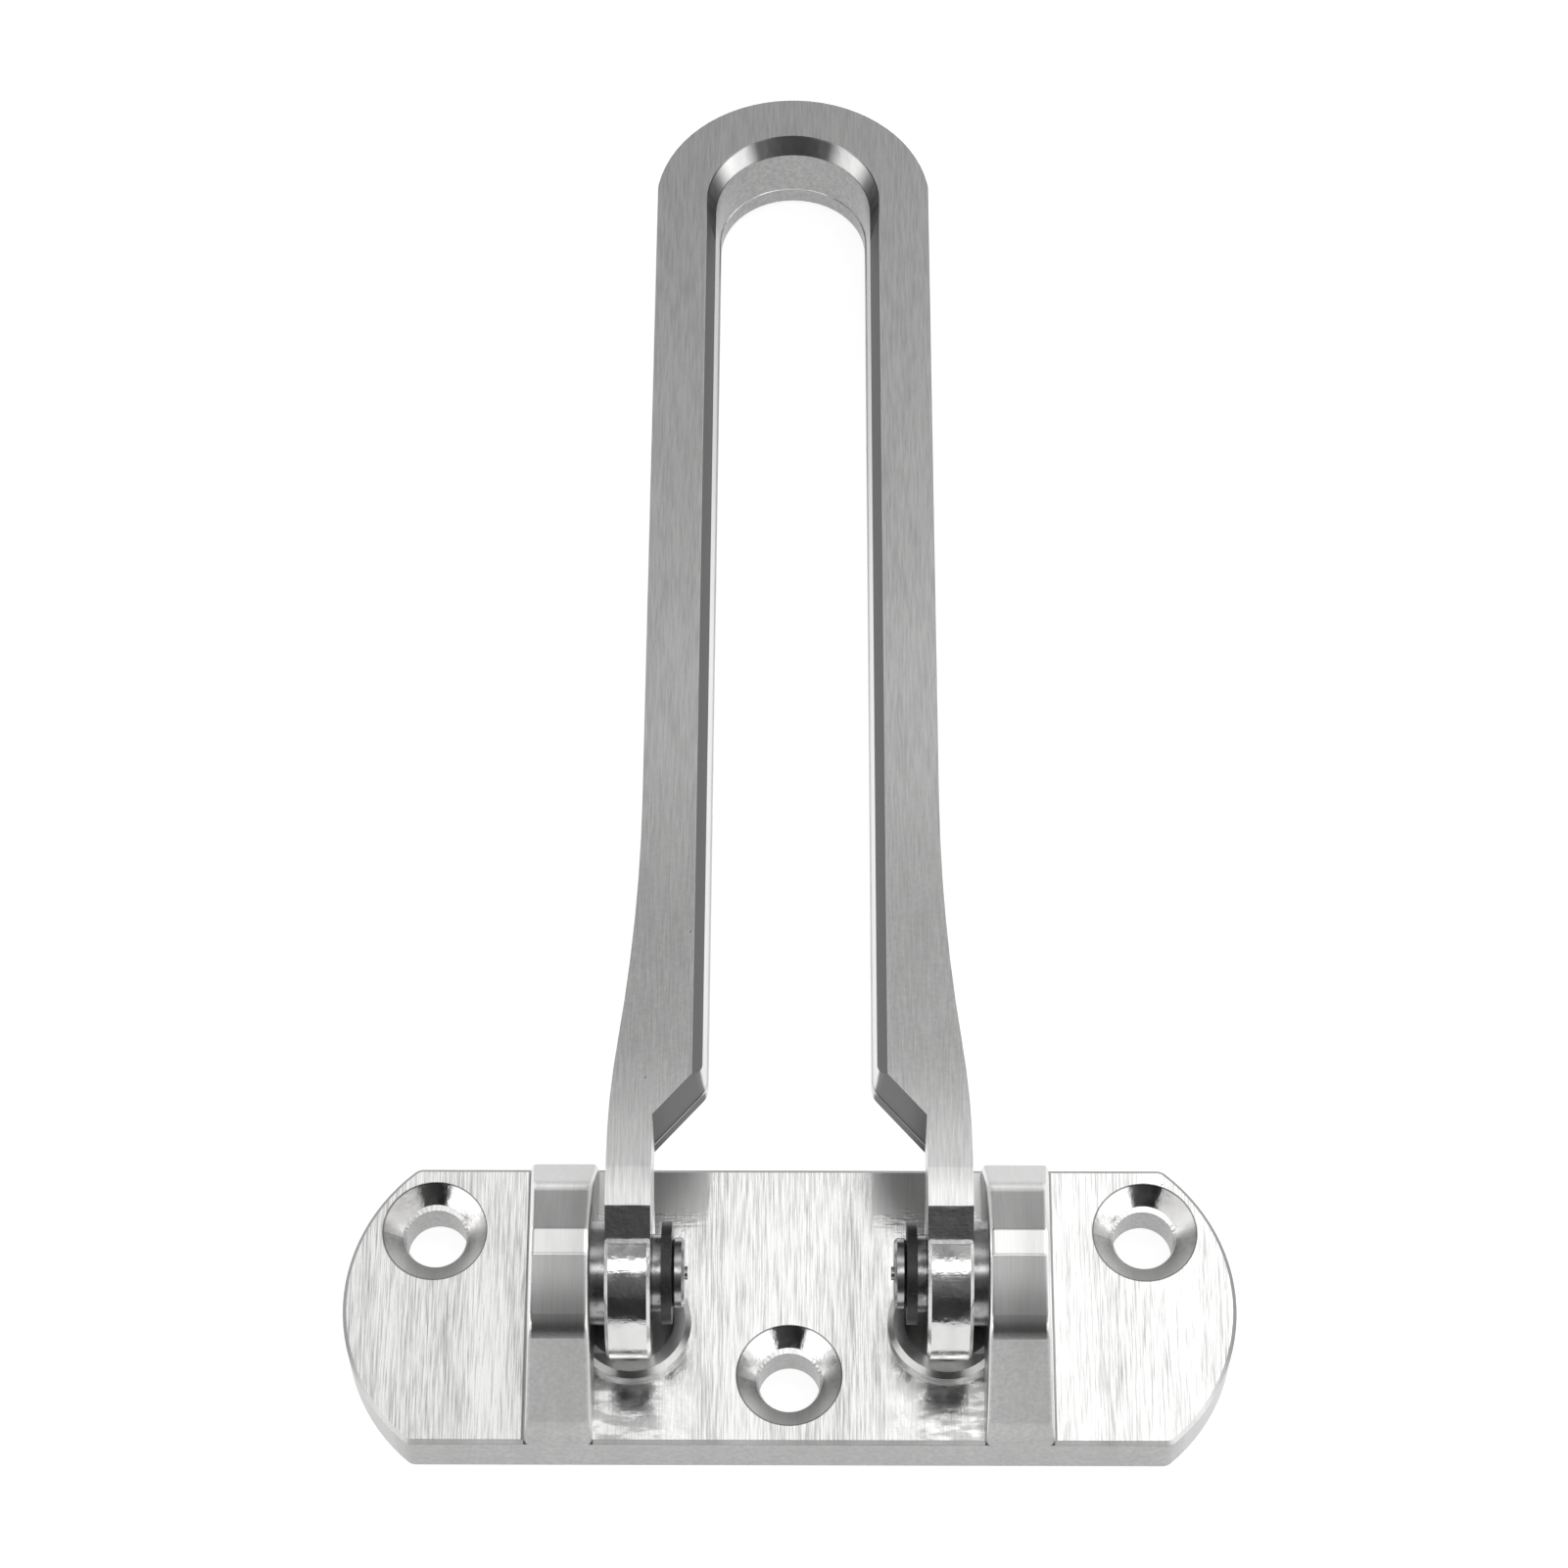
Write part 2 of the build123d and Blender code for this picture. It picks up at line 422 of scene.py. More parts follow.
@dataclass(frozen=True)
class Nickel:
    """Nickel plate on cast zinc: brushed, polished, satin, matt and as cast, with painted shade and painted
    dark reflections.
    """

    bright: Colour = (0.84, 0.837, 0.832)
    worn: Colour = (0.36, 0.358, 0.355)
    shade_colour: Colour = (0.31, 0.31, 0.308)
    cast_and_shade_colour: Colour = (0.15, 0.15, 0.15)
    pitted: Colour = (0.2, 0.2, 0.2)
    worn_share: float = 0.24
    line_tone: float = 3.0
    streak_tone: float = 0.9
    stray_lines: float = 0.15
    shade_share: float = 0.9
    grit_tone: float = 0.7
    satin_roughness: float = 0.28
    brushed_roughness: float = 0.25
    polished_roughness: float = 0.09
    haze_roughness: float = 0.14
    raw_roughness: float = 0.34
    matt_roughness: float = 0.55
    brush_depth: float = 0.012 * MM
    grit_height: float = 0.6
    cross_height: float = 0.5
    ripple_height: float = 1.4
    speck_height: float = 1.0
    grain: Grain = Grain()

    def dress(self, place: Place, zones: Zones) -> None:
        """Lay the plate on a piece.

        Args:
            place: The shaded point.
            zones: The masks of the piece's faces.
        """
        graph, grain, satin = place.graph, self.grain, self.satin_roughness
        lines = grain.lines.sample(place)
        grit = grain.grit.sample(place)
        pits = grain.pits(place) * zones.brushed
        stray = self.stray_lines
        lined = stray + zones.brushed * (1.0 - stray) - zones.polished * stray
        tone = (
            self.worn_share
            + (lines - NOISE_MEAN) * self.line_tone * lined
            + (grain.streaks.sample(place) - NOISE_MEAN) * self.streak_tone
        )
        # Painted shade: faces in this zone are blended towards a darker grey, by an amount that grit
        # mottles.
        mottled_shade = zones.painted_shade * (self.shade_share + (grit - NOISE_MEAN) * self.grit_tone)
        colour = graph.blend(tone, self.bright, self.worn)
        # The second blend paints shade and dark reflections near black on edges, ledges, the underside and
        # the slot bevel, and darkens some rough as-cast patches; the pits are real.
        for share, other in ((mottled_shade, self.shade_colour), (zones.cast, self.cast_and_shade_colour), (pits, self.pitted)):
            colour = graph.blend(share, colour, other)
        hazy = grain.haze.sample(place).rise(*grain.haze_edge)
        roughness = (
            satin
            + zones.brushed * (self.brushed_roughness - satin)
            + zones.polished * (self.polished_roughness - satin + hazy * self.haze_roughness)
            + zones.cast * (self.raw_roughness - satin)
            + zones.matt * (self.matt_roughness - satin)
        )
        uneven = (
            grain.cross_lines.sample(place) * self.cross_height
            + grain.ripples.sample(place) * self.ripple_height
            + grit * self.speck_height
        )
        # One unit of height is the brush depth, so the relief changes over from millimetres.
        height = (
            lines * lined
            + uneven * zones.polished
            + grit * zones.painted_shade * self.grit_height
            + zones.relief * (MM / self.brush_depth)
            - pits
        )
        graph.surface(
            {
                "Base Color": colour,
                "Metallic": 1.0,
                "Roughness": roughness,
                "Normal": graph.bump(height, self.brush_depth),
            }
        )


@dataclass(frozen=True)
class TurnedSteel:
    """Bright steel with the rings that a lathe leaves about the pivot axis."""

    colour: Colour = (0.42, 0.42, 0.42)
    worn: Colour = (0.2, 0.2, 0.2)
    roughness: float = 0.2
    ring_pitch: float = 0.16
    ring_depth: float = 0.002 * MM
    soil: Layer = Layer(1.0, 1.0, 3.0, 0.6)
    soil_edge: Span = (0.45, 0.75)
    soil_roughness: float = 0.12

    def dress(self, place: Place) -> None:
        """Lay the finish on a piece.

        Args:
            place: The shaded point, with the pivot axis through its origin.
        """
        graph = place.graph
        radius = graph.length(place.y, place.z)
        rings = graph.maths("SINE", radius * (math.tau / self.ring_pitch))
        soil = self.soil.sample(place)
        graph.surface(
            {
                "Base Color": graph.blend(soil.rise(*self.soil_edge), self.colour, self.worn),
                "Metallic": 1.0,
                "Roughness": self.roughness + soil * self.soil_roughness,
                "Normal": graph.bump(rings, self.ring_depth),
            }
        )


@dataclass(frozen=True)
class DarkPlastic:
    """Near-black, slightly worn washer plastic."""

    colour: Colour = (0.012, 0.012, 0.013)
    rubbed: Colour = (0.05, 0.05, 0.052)
    roughness: float = 0.42
    uneven_roughness: float = 0.2
    grain: Layer = Layer(4.0, 4.0, 3.0, 0.6)
    grain_depth: float = 0.01 * MM
    rubbed_edge: Span = (0.5, 0.8)

    def dress(self, place: Place) -> None:
        """Lay the finish on a piece.

        Args:
            place: The shaded point.
        """
        graph = place.graph
        grain = self.grain.sample(place)
        graph.surface(
            {
                "Base Color": graph.blend(grain.rise(*self.rubbed_edge), self.colour, self.rubbed),
                "Roughness": self.roughness + (grain - NOISE_MEAN) * self.uneven_roughness,
                "Normal": graph.bump(grain, self.grain_depth),
            }
        )


def new_material(name: str) -> tuple[bpy.types.Material, Graph]:
    """Make an empty material.

    Args:
        name: Its name.

    Returns:
        The material and the graph of its nodes.
    """
    material = bpy.data.materials.new(name)
    material.use_nodes = True
    return material, Graph(material.node_tree)


def dress_node(node: str, material: bpy.types.Material) -> None:
    """Give a CAD node its finish.

    Args:
        node: The node's name.
        material: The finish.
    """
    piece = frame["nodes"][node]
    piece.data.materials.clear()
    piece.data.materials.append(material)
    LOG.info("%s wears %s", node, material.name)


def add_piece(name: str, shape: bmesh.types.BMesh) -> bpy.types.Object:
    """Turn a finished mesh into an object of the scene.

    Args:
        name: The object's name.
        shape: The mesh, in metres; it is freed.

    Returns:
        The object.
    """
    mesh = bpy.data.meshes.new(name)
    shape.to_mesh(mesh)
    shape.free()
    piece = bpy.data.objects.new(name, mesh)
    bpy.context.scene.collection.objects.link(piece)
    return piece


def mount(name: str) -> dict[str, Any]:
    """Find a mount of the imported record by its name."""
    return next(entry for entry in frame["record"]["mounts"] if entry["name"] == name)


def pivot() -> Vector:
    """Find where the hinge axis crosses the middle plane, in metres."""
    return Vector(frame["joints"][0]["pos_m"])


@dataclass(frozen=True)
class PlateMarks:
    """How strongly each mark of the base plate shows, from 0 to 1; edge, rim, crest, crease, wall, seat and
    rear_foot set painted shade, and slope eases it.
    """

    missed: float = 0.7
    edge: float = 0.75
    patch: float = 0.3
    rim: float = 0.8
    crest: float = 0.4
    crease: float = 0.8
    smear: float = 0.45
    slope: float = 0.2
    wall: float = 0.75
    seat: float = 0.55
    rear_foot: float = 0.72
    low_sink: float = 0.7
    upper: float = 0.6


@dataclass
class BasePlate:
    """The screwed plate with its two lugs, in millimetres.

    A span that ends in up or along holds the parts of a face's normal where a mask sets in and
    is full. A span that ends in side or y holds such places on the plate.
    """

    node: str = "base_plate"
    thick: float = 5.7
    edge_break: float = 0.35
    sink_radius: float = 4.7
    rim_width: float = 0.08
    hole_radius: float = 2.75
    bore_top: float = 3.75
    lip_shift: float = 0.19
    lip_reach: float = 0.6
    lip_lift: float = 1.4
    lug_inner: float = 17.3
    lug_outer: float = 23.45
    crease_width: float = 0.22
    seat_x: float = 14.03
    seat_y: float = -2.1
    seat_radius: float = 5.3
    soft: float = 0.05
    fine_soft: float = 0.03
    crest_soft: float = 0.008
    wide_soft: float = 0.2
    flat_up: Span = (0.97, 0.995)
    crest_up: Span = (0.89, 0.985)
    edge_up: Span = (0.6, 0.8)
    wall_up: Span = (0.3, 0.5)
    front_along: Span = (-0.75, -0.6)
    upper_along: Span = (-0.65, -0.35)
    edge_along: Span = (-0.45, -0.15)
    crest_along: Span = (-0.2, -0.1)
    low_sink_along: Span = (-0.3, 0.05)
    sink_side_along: Span = (0.1, 0.6)
    rear_along: Span = (0.6, 0.75)
    slope_rise: Span = (-0.5, 2.5)
    upper_height: Span = (17.9, 20.3)
    patch_side: Span = (7.2, 7.8)
    patch_y: Span = (7.4, 9.0)
    patch_fray: float = 4.0
    belt_side: Span = (7.8, 9.4)
    corner_side: Span = (10.7, 12.1)
    smear_y: Span = (-7.2, -6.4)
    smear_fray: float = 2.0
    smear_edge: Span = (0.4, 0.58)
    smear: Layer = Layer(0.35, 1.1)
    fray: Layer = Layer(0.5, 3.0)
    marks: PlateMarks = PlateMarks()
    finish: Nickel = Nickel()

    def holes(self) -> list[tuple[float, float]]:
        """Read the places of the screw holes.

        Returns:
            X and Y of each hole's axis.
        """
        ends = mount("end_screw_holes")
        front = mount("front_screw_hole")
        reach = ends["dims"]["spacing_x_mm"] / 2
        back = ends["pos_m"][1] * PER_MM
        return [(reach, back), (-reach, back), (0.0, front["pos_m"][1] * PER_MM)]

    def sunk(self, place: Place) -> tuple[Wire, Wire, Wire]:
        """Find the screw holes.

        Args:
            place: The shaded point.

        Returns:
            Masks of the countersinks with their bores and of their upper rims, and the height of
            the narrow flat lips behind the bores.
        """
        inside = rim = relief = place.x * 0.0
        half_rim = self.rim_width / 2
        lip_edge = self.hole_radius + self.lip_shift
        for x, y in self.holes():
            radius = place.from_axis(x, y)
            inside = inside | radius.fall(self.sink_radius, self.sink_radius + self.rim_width)
            # The rim mask carries a painted dark line round each countersink's upper edge.
            rim = rim | radius.band(
                self.sink_radius - self.rim_width, self.sink_radius + half_rim, half_rim
            )
            lip = place.from_axis(x, y + self.lip_shift)
            level = lip.held(lip_edge - self.lip_reach, lip_edge + self.fine_soft)
            relief = relief + (lip_edge - level) * self.lip_lift
        return inside, rim, relief

    def unreached(self, place: Place, flat: Wire) -> tuple[Wire, Wire, Wire]:
        """Find what the brushing belt left between the lugs.

        Args:
            place: The shaded point.
            flat: The mask of the plate's flats.

        Returns:
            Masks of the rough patches by the rear edge, of the bright ground about the seats and
            of the smears in the front corners.
        """
        side = abs(place.x)
        frayed = self.fray.drawn(place) - NOISE_MEAN
        between = side.fall(self.lug_inner, self.lug_inner + self.wide_soft) * flat
        at_rear = (place.y + frayed * self.patch_fray).rise(*self.patch_y)
        patch = between * side.rise(*self.patch_side) * at_rear
        missed = between * side.rise(*self.belt_side) * (1.0 - patch)
        at_front = (place.y + frayed * self.smear_fray).fall(*self.smear_y)
        corner = between * side.rise(*self.corner_side) * at_front
        return patch, missed, corner * self.smear.drawn(place).rise(*self.smear_edge)

    def dress(self) -> None:
        """Brush the flats, polish what the belt can't reach, and paint shade on the walls, front faces,
        edges, recesses and lug feet.
        """
        material, graph = new_material("plate_finish")
        place = Place.on(graph, Vector(), 0.0)
        side, z, up, along = abs(place.x), place.z, place.up, place.along
        thick, soft, fine_soft, marks = self.thick, self.soft, self.fine_soft, self.marks
        inside, rim, relief = self.sunk(place)
        on_lug = side.band(self.lug_inner, self.lug_outer, fine_soft)
        off_lug = 1.0 - on_lug
        flat = up.rise(*self.flat_up) * z.band(thick - soft, thick + soft, soft) * off_lug
        patch, missed, smear = self.unreached(place, flat)
        near_top = z.band(thick - self.edge_break, thick, soft)
        # Painted shade: the top edge break is darkened into an outline, except along the front.
        edge = up.band(*self.edge_up, soft) * near_top * off_lug * (1.0 - inside)
        front_edge = edge * along.fall(*self.edge_along)
        # Painted shade: the plate's side walls below the top are darkened.
        wall = up.fall(*self.wall_up) * z.fall(thick, thick + 2 * soft) * off_lug
        # Painted shade: the bores and the lower sides of the countersinks are darkened.
        bore = inside * z.fall(self.bore_top - fine_soft, self.bore_top + fine_soft)
        low_sink = inside * along.rise(*self.low_sink_along)
        sink_side = low_sink * along.fall(*self.sink_side_along)
        # Painted shade: the ring about each seat, off the flats, is darkened.
        from_seat = graph.length(side - self.seat_x, place.y - self.seat_y)
        seat = from_seat.fall(self.seat_radius, self.seat_radius + self.wide_soft)
        seat = seat * (1.0 - flat) * off_lug
        # Painted shade: faces turned to the front are darkened, less so on the lug slopes.
        front = along.fall(*self.front_along) * (1.0 - inside) * (1.0 - edge)
        # Painted shade: the lugs' rear-facing feet are darkened.
        rear_foot = along.rise(*self.rear_along) * on_lug
        slope = on_lug * (z - thick).rise(*self.slope_rise)
        # Painted shade: the highlight along each lug's crest is darkened away.
        crest = on_lug * up.band(*self.crest_up, self.crest_soft) * along.fall(*self.crest_along)
        upper = on_lug * along.band(*self.upper_along, soft) * z.rise(*self.upper_height)
        # Painted shadow: a thin dark line on the flat along each lug's outer foot.
        crease = flat * side.band(self.lug_outer, self.lug_outer + self.crease_width, soft)
        polished = inside * (1.0 - low_sink) * (1.0 - bore) | missed * marks.missed
        zones = Zones(
            brushed=flat * (1.0 - polished) * (1.0 - patch),
            polished=polished,
            cast=(edge - front_edge) * marks.edge
            | patch * marks.patch
            | rim * marks.rim
            | crest * marks.crest
            | crease * marks.crease
            | smear * marks.smear,
            painted_shade=front * (1.0 - slope * marks.slope)
            | wall * marks.wall
            | sink_side
            | bore
            | seat * marks.seat
            | rear_foot * marks.rear_foot,
            matt=front_edge | low_sink * marks.low_sink | upper * marks.upper,
            relief=relief,
        )
        self.finish.dress(place, zones)
        dress_node(self.node, material)


@dataclass(frozen=True)
class Turn:
    """A stretch of a route that goes round an upright axis, in millimetres and radians."""

    centre: Vector
    angle: float
    steps: int


@dataclass(frozen=True)
class ArmMarks:
    """How strongly each mark of the swing arm shows, from 0 to 1; under, bevel, bevel_turn and eye, and the
    top's two shade weights, set painted shade and painted dark reflections.
    """

    under: float = 0.8
    bevel: float = 0.75
    bevel_turn: float = 0.2
    glint: float = 0.3
    top_shade: float = 0.62
    top_shade_fade: float = 0.5
    eye: float = 0.2


@dataclass
class SwingArm:
    """The slotted arm, in millimetres, measured along its own length from the pivot.

    A span that ends in up, along or across holds the parts of a face's normal where a mask sets
    in and is full. A span that ends in y holds such places along the arm.
    """

    node: str = "swing_arm"
    reach: float = 130.0
    top: float = 9.3
    thick: float = 8.3
    slot_half: float = 7.3
    slot_end: float = 123.8
    slot_draft: float = 4.0
    bevel_half: float = 8.6
    bevel_foot: float = 7.78
    bevel_lift: float = 0.58
    throat_half: float = 12.05
    ledge_start: float = 11.7
    ledge_angle: float = 50.5
    ledge_lean: float = 6.0
    ledge_round: float = 2.2
    ridge_height: float = 2.65
    ridge_half: float = 0.13
    ridge_rise: float = 0.09
    ridge_root: float = 0.06
    corner_steps: int = 6
    end_steps: int = 32
    soft: float = 0.1
    bevel_soft: float = 0.05
    glint_soft: float = 0.09
    ground_end: float = 1.75
    ground_wander: float = 0.8
    wander: Layer = Layer(0.4, 0.0)
    brushed_up: Span = (0.78, 0.85)
    bevel_up: Span = (0.25, 0.55)
    upright_up: Span = (0.15, 0.25)
    under_up: Span = (-0.8, -0.6)
    ledge_along: Span = (-0.5, -0.3)
    wall_along: Span = (0.1, 0.3)
    glint_across: Span = (0.45, 0.77)
    ledge_y: Span = (18.5, 19.0)
    wall_y: Span = (60.0, 110.0)
    top_shade_y: Span = (4.0, 18.0)
    rail_y: Span = (26.0, 56.0)
    marks: ArmMarks = ArmMarks()
    finish: Nickel = Nickel(
        bright=(0.78, 0.778, 0.775),
        worn=(0.5, 0.498, 0.495),
        cast_and_shade_colour=(0.05, 0.05, 0.05),
        brushed_roughness=0.28,
        line_tone=2.0,
        streak_tone=0.6,
        grain=Grain(lines=Layer(6.0, 0.3, 3.0, 0.62), streaks=Layer(0.6, 0.09)),
    )

    @property
    def tilt(self) -> float:
        """How far the closed arm dips, in radians."""
        # The lower edge of the closed arm's tip comes down to the mounting face.
        bottom = self.top - self.thick
        height = pivot().z * PER_MM
        return math.asin(height / math.hypot(self.reach, bottom)) + math.atan2(bottom, self.reach)

    @property
    def end_centre(self) -> float:
        """How far out the slot's round end is centred."""
        return self.slot_end - self.slot_half

    def build(self) -> bpy.types.Object:
        """Raise the casting's parting ridge on the ledges and round the slot.

        Returns:
            The ridge, riding on the arm.
        """
        foot, route = self._parting_line()
        lead = math.radians(self.ledge_angle)
        inward = Vector((-math.sin(lead), -math.cos(lead), 0.0))
        section = (
            (-self.ridge_root, -self.ridge_half),
            (self.ridge_rise, 0.0),
            (-self.ridge_root, self.ridge_half),
        )
        shape = bmesh.new()
        corners = [shape.verts.new(foot + inward * rise + UP * lift) for rise, lift in section]
        outline = list(shape.faces.new(corners).edges)
        for step in route:
            outline = self._sweep(shape, outline, step)
        bmesh.ops.contextual_create(shape, geom=outline)
        bmesh.ops.recalc_face_normals(shape, faces=shape.faces)
        to_world = Matrix.Translation(pivot()) @ Matrix.Rotation(-self.tilt, 4, "X")
        shape.transform(to_world @ Matrix.Scale(MM, 4))
        ridge = add_piece(RIDGE, shape)
        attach(ridge, ARM_BODY)
        return ridge

    def _parting_line(self) -> tuple[Vector, list[Vector | Turn]]:
        """Follow the parting line from one ledge, round the slot's end, to the other ledge.

        Returns:
            The line's first point, and its straight moves and turns in order.
        """
        lead = math.radians(self.ledge_angle)
        turn = math.pi / 2 - lead
        height = self.ridge_height - self.top + self.thick
        wall = self.slot_half + height * math.tan(math.radians(self.slot_draft))
        start = self.ledge_start - self.ridge_height * math.tan(math.radians(self.ledge_lean))
        corner = start + (self.throat_half - wall) * math.tan(lead)
        trim = self.ledge_round * math.tan(turn / 2)
        run = (self.throat_half - wall) / math.cos(lead) - trim
        ledge = Vector((-math.cos(lead), math.sin(lead), 0.0)) * run
        side = Vector((0.0, self.end_centre - corner - trim, 0.0))
        round_x = wall + self.ledge_round
        round_y = corner + trim
        route = [
            ledge,
            Turn(Vector((round_x, round_y, 0.0)), -turn, self.corner_steps),
            side,
            Turn(Vector((0.0, self.end_centre, 0.0)), math.pi, self.end_steps),
            -side,
            Turn(Vector((-round_x, round_y, 0.0)), -turn, self.corner_steps),
            Vector((ledge.x, -ledge.y, 0.0)),
        ]
        return Vector((self.throat_half, start, self.ridge_height)), route

    @staticmethod
    def _sweep(
        shape: bmesh.types.BMesh, edges: list[bmesh.types.BMEdge], step: Vector | Turn
    ) -> list[bmesh.types.BMEdge]:
        """Carry an outline on, straight or round an upright axis.

        Args:
            shape: The mesh that grows.
            edges: The outline's edges at the open end.
            step: The straight move, or the turn.

        Returns:
            The outline's edges at the new end.
        """
        if isinstance(step, Turn):
            grown = bmesh.ops.spin(
                shape, geom=edges, cent=step.centre, axis=UP, angle=step.angle, steps=step.steps
            )["geom_last"]
        else:
            grown = bmesh.ops.extrude_edge_only(shape, edges=edges)["geom"]
            points = [item for item in grown if isinstance(item, bmesh.types.BMVert)]
            bmesh.ops.translate(shape, verts=points, vec=step)
        return [item for item in grown if isinstance(item, bmesh.types.BMEdge)]

    def dress(self) -> None:
        """Brush the arm's length, polish its eyes, and paint shade and dark reflections on the ledges,
        underside, slot bevel, far slot walls and top.
        """
        material, graph = new_material("arm_finish")
        place = Place.on(graph, pivot(), self.tilt)
        side, turned = abs(place.x), abs(place.across)
        y, up, along = place.y, place.up, place.along
        soft, marks = self.soft, self.marks
        ground = y + (self.wander.drawn(place) - NOISE_MEAN) * self.ground_wander
        eye = ground.fall(self.ground_end - soft, self.ground_end + soft)
        rail = 1.0 - eye
        brushed = up.rise(*self.brushed_up) * rail
        in_throat = side.fall(self.throat_half, self.throat_half + soft) * rail
        # Painted dark reflection: the ledges are darkened to near black.
        ledges = in_throat * along.fall(*self.ledge_along) * y.fall(*self.ledge_y)
        # Painted shade: the arm's underside is darkened.
        under = up.fall(*self.under_up) * rail
        in_slot = side.fall(self.bevel_half, self.bevel_half + soft) * rail
        bevel = in_slot * up.band(*self.bevel_up, self.bevel_soft)
        glint = bevel * turned.band(*self.glint_across, self.glint_soft)
        # Painted dark reflection: the slot bevel is darkened, except where the glints stay bare metal.
        dark_bevel = (bevel - glint) * (marks.bevel + turned * marks.bevel_turn)
        # Painted shade: the upright slot walls are darkened from 60 mm out, fully past 110 mm.
        upright = abs(up).fall(*self.upright_up) * along.fall(*self.wall_along)
        wall = in_slot * upright * y.rise(*self.wall_y)
        # Painted shade on the brushed top: none by the eye, full from 18 mm out, fading to a fifth past 26
        # to 56 mm.
        top_shade = y.rise(*self.top_shade_y) * (marks.top_shade - y.rise(*self.rail_y) * marks.top_shade_fade)
        bend = place.from_axis(0.0, self.end_centre)
        eased = (self.bevel_foot - bend.held(self.bevel_foot, self.bevel_half)) * self.bevel_lift
        zones = Zones(
            brushed=brushed,
            polished=eye,
            cast=ledges | under * marks.under | dark_bevel,
            # Painted shade: the polished eyes are dimmed a little.
            painted_shade=wall | brushed * top_shade | eye * marks.eye,
            matt=glint * marks.glint,
            relief=eased * bevel,
        )
        self.finish.dress(place, zones)
        dress_node(self.node, material)
        ridge = bpy.data.objects[RIDGE]
        ridge.data.materials.append(material)


@dataclass
class HingeStack:
    """One pin with its washers on each side of the guard."""

    sides: tuple[str, str] = ("left", "right")
    pin: TurnedSteel = TurnedSteel()
    steel: TurnedSteel = TurnedSteel(colour=(0.36, 0.36, 0.36), worn=(0.16, 0.16, 0.16))
    dark: DarkPlastic = DarkPlastic()

    def dress(self) -> None:
        """Give the pins and washers their finishes."""
        finishes = (
            ("pin_finish", self.pin, Slot.PIN, ("hinge_pin",)),
            ("washer_finish", self.steel, Slot.STEEL_WASHER, ("spring_washer", "spacer_washer")),
            ("dark_finish", self.dark, Slot.DARK_WASHER, ("friction_washer",)),
        )
        for name, finish, slot, kinds in finishes:
            material, graph = new_material(name)
            finish.dress(Place.on(graph, pivot(), 0.0))
            for kind in kinds:
                for side in self.sides:
                    dress_node(f"{kind}_{side}", material)


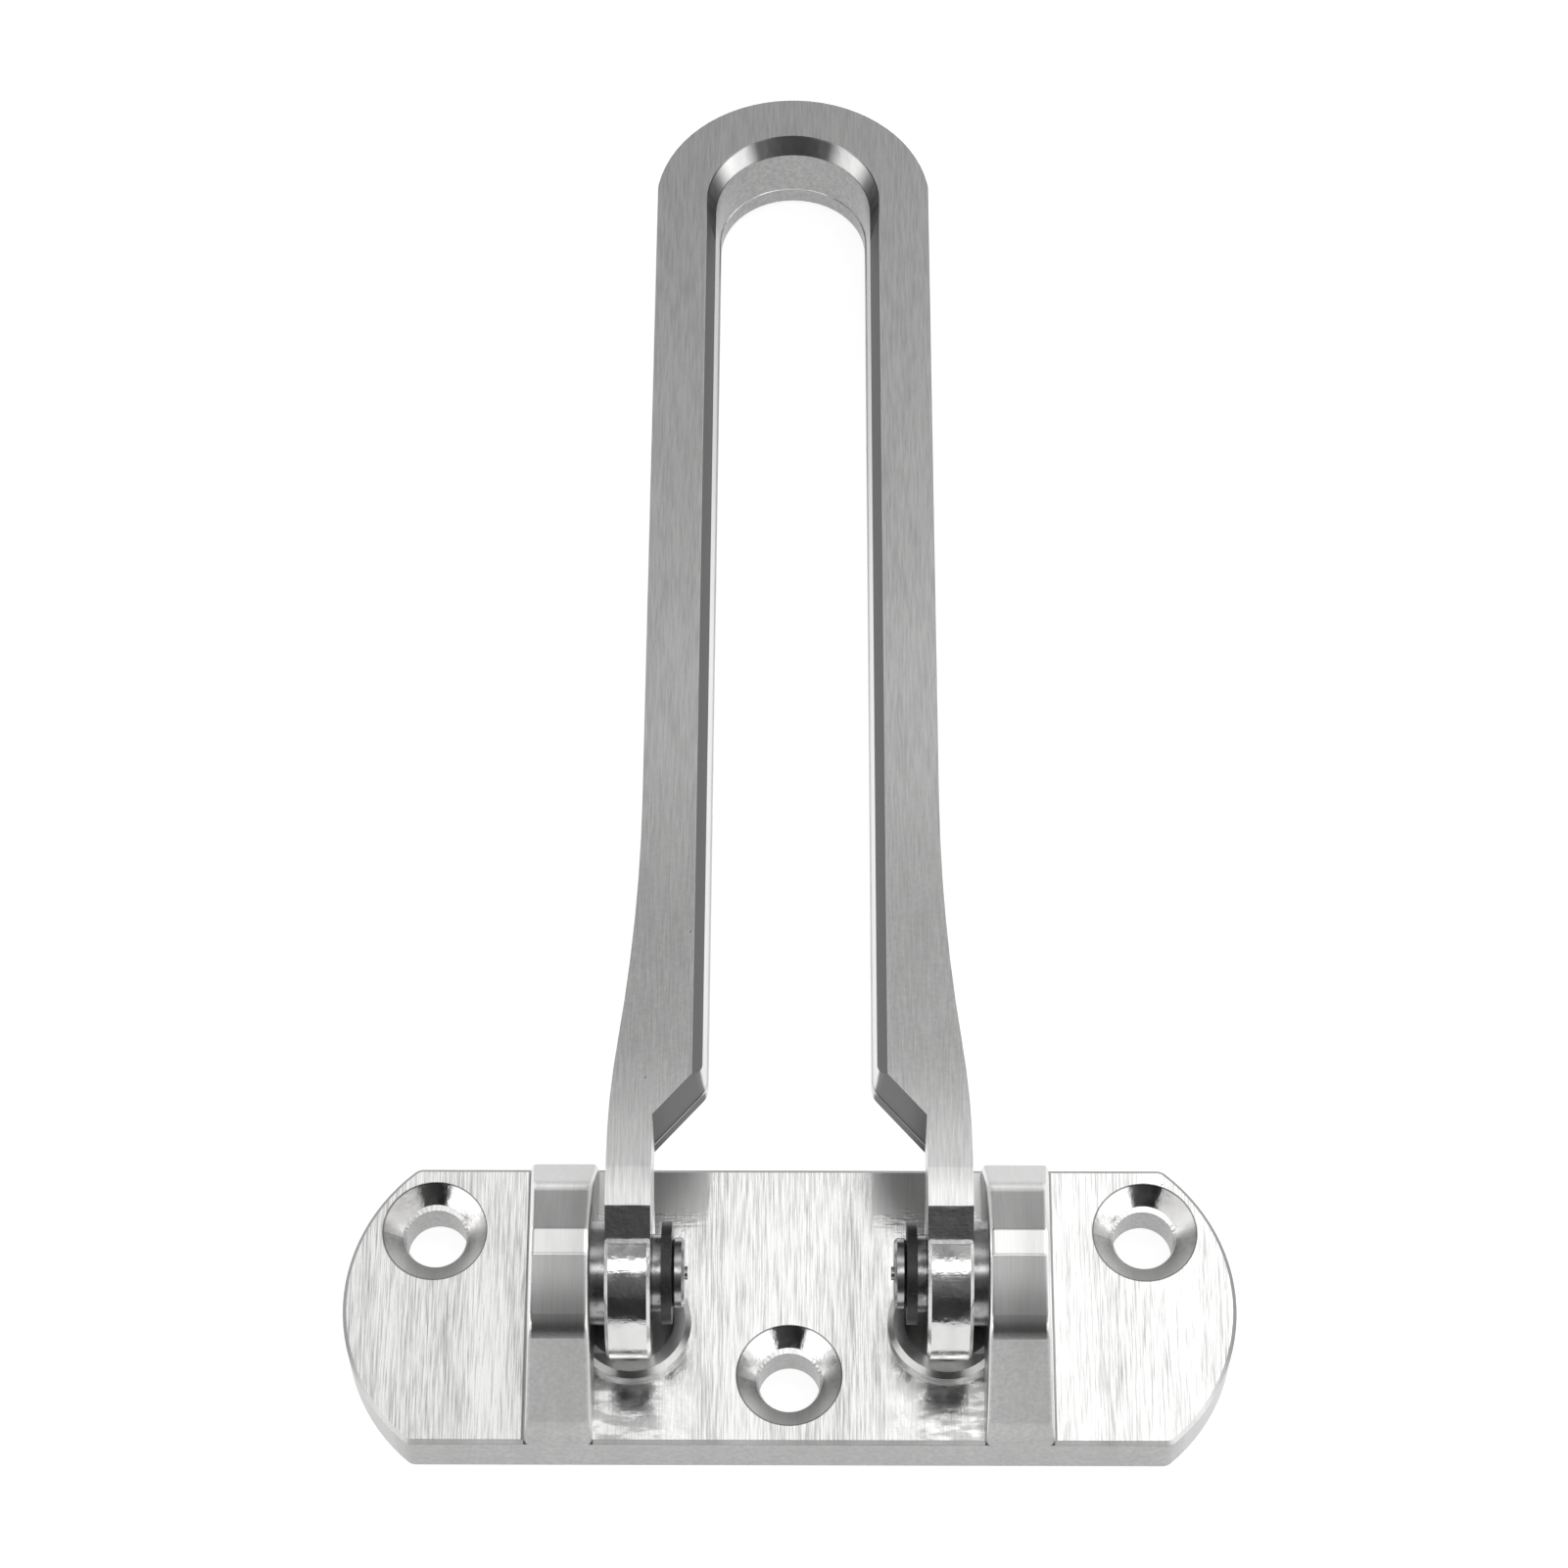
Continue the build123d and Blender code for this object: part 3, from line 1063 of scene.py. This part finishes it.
@dataclass
class Studio:
    """The pale floor, the soft light and the camera, in metres and degrees.

    The dome lists grey levels by the angle from the front, over the top, to the back, and the
    strip light's edges are on the same scale. The slant makes the right brighter than the left.
    The wall spans are parts of a direction from the guard, where a side wall sets in and is full.
    """

    floor_half: float = 4.0
    floor_colour: Colour = (0.3, 0.3, 0.3)
    floor_roughness: float = 0.9
    floor_glow: float = 0.87
    strip_height: float = 0.6
    strip_near: float = 71.5
    strip_far: float = 84.5
    strip_length: float = 0.9
    strip_radiance: float = 3.0
    slant: float = 2.3
    slant_least: float = 0.5
    wall_edge: Span = (0.38, 0.5)
    wall_foot: Span = (0.05, 0.1)
    wall_head: Span = (0.42, 0.52)
    wall_level: float = 2.2
    skirting_level: float = 0.4
    dome: tuple[Span, ...] = (
        (0.0, 0.05),
        (33.0, 0.05),
        (37.0, 0.12),
        (55.0, 0.2),
        (82.0, 0.3),
        (86.0, 0.48),
        (103.0, 0.5),
        (107.0, 1.85),
        (117.0, 1.75),
        (125.0, 0.95),
        (131.0, 0.6),
        (139.0, 0.41),
        (150.0, 0.34),
        (169.0, 0.38),
        (180.0, 0.5),
    )
    focal_pixels: float = 4697.8
    nearest: float = 0.01
    distance: float = 0.4372
    elevation: float = 62.179
    yaw: float = 0.532
    roll: float = -0.364
    target: tuple[float, float, float] = (-0.00069, 0.05315, 0.0047)

    def build(self) -> None:
        """Set up the floor, the dome, the strip light and the camera."""
        self.lay_floor()
        self.paint_dome()
        self.hang_strip()
        self.place_camera()
        bpy.context.scene.view_settings.view_transform = "Standard"

    def lay_floor(self) -> None:
        """Lay a wide pale floor under the guard."""
        shape = bmesh.new()
        bmesh.ops.create_grid(shape, x_segments=1, y_segments=1, size=self.floor_half)
        floor = add_piece("floor", shape)
        floor.location.z = CAD_BOX[0].z
        material, graph = new_material("floor_paint")
        graph.surface(
            {
                "Base Color": (*self.floor_colour, 1.0),
                "Roughness": self.floor_roughness,
                "Specular IOR Level": 0.0,
                "Emission Color": (1.0, 1.0, 1.0, 1.0),
                "Emission Strength": self.floor_glow,
            }
        )
        floor.data.materials.append(material)

    def paint_dome(self) -> None:
        """Shade the surroundings: bright sides, a dark front and a pale band behind the top."""
        world = bpy.data.worlds.new("studio")
        world.use_nodes = True
        bpy.context.scene.world = world
        graph = Graph(world.node_tree)
        source = graph.node("ShaderNodeTexCoord")
        x, y, z = graph.split(Wire(graph, source.outputs["Generated"]))
        angle = graph.maths("ARCTAN2", z, -y) / math.pi
        ramp = graph.node(
            "ShaderNodeValToRGB",
            {"stops": [(degrees / HALF_TURN, level) for degrees, level in self.dome]},
            {0: angle},
        )
        side = abs(x).rise(*self.wall_edge)
        wall = side * z.rise(*self.wall_foot) * z.fall(*self.wall_head)
        skirting = side * z.fall(*self.wall_foot)
        level = Wire(graph, ramp.outputs[0]) * ((1.0 + x * self.slant) | self.slant_least)
        level = level + wall * (self.wall_level - level) + skirting * (self.skirting_level - level)
        light = graph.node("ShaderNodeBackground", None, {1: level})
        graph.node("ShaderNodeOutputWorld", None, {0: Wire(graph, light.outputs[0])})

    def hang_strip(self) -> None:
        """Hang the strip light above the guard, across the line of sight."""
        near = -self.strip_height / math.tan(math.radians(self.strip_near))
        far = -self.strip_height / math.tan(math.radians(self.strip_far))
        light = bpy.data.lights.new("strip", "AREA")
        light.shape = "RECTANGLE"
        light.size = self.strip_length
        light.size_y = far - near
        # An even, flat light of this radiance gives off pi times as much from each square metre.
        light.energy = self.strip_radiance * math.pi * light.size * light.size_y
        lamp = bpy.data.objects.new("strip", light)
        lamp.location = (0.0, (near + far) / 2, self.strip_height)
        bpy.context.scene.collection.objects.link(lamp)

    def place_camera(self) -> None:
        """Set the camera where the picture was taken from."""
        lift, turn, roll = (math.radians(a) for a in (self.elevation, self.yaw, self.roll))
        back = Vector(
            (math.sin(turn) * math.cos(lift), -math.cos(turn) * math.cos(lift), math.sin(lift))
        )
        level = Vector((math.cos(turn), math.sin(turn), 0.0))
        upright = back.cross(level)
        right = math.cos(roll) * level + math.sin(roll) * upright
        up = math.cos(roll) * upright - math.sin(roll) * level
        data = bpy.data.cameras.new("camera")
        data.sensor_width = SENSOR_WIDTH
        data.lens = self.focal_pixels / IMAGE_SIDE * SENSOR_WIDTH
        data.clip_start = self.nearest
        camera = bpy.data.objects.new("camera", data)
        pose = Matrix((right, up, back)).transposed().to_4x4()
        pose.translation = Vector(self.target) + back * self.distance
        camera.matrix_world = pose
        bpy.context.scene.collection.objects.link(camera)
        bpy.context.scene.camera = camera


def main() -> None:
    """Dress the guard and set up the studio."""
    logging.basicConfig(level=logging.INFO, format="%(name)s: %(message)s")
    arm = SwingArm()
    ridge = arm.build()
    LOG.info("%s is raised", ridge.name)
    for part in (BasePlate(), arm, HingeStack()):
        part.dress()
        LOG.info("%s is dressed", type(part).__name__)
    Studio().build()


if __name__ == "__main__":
    main()
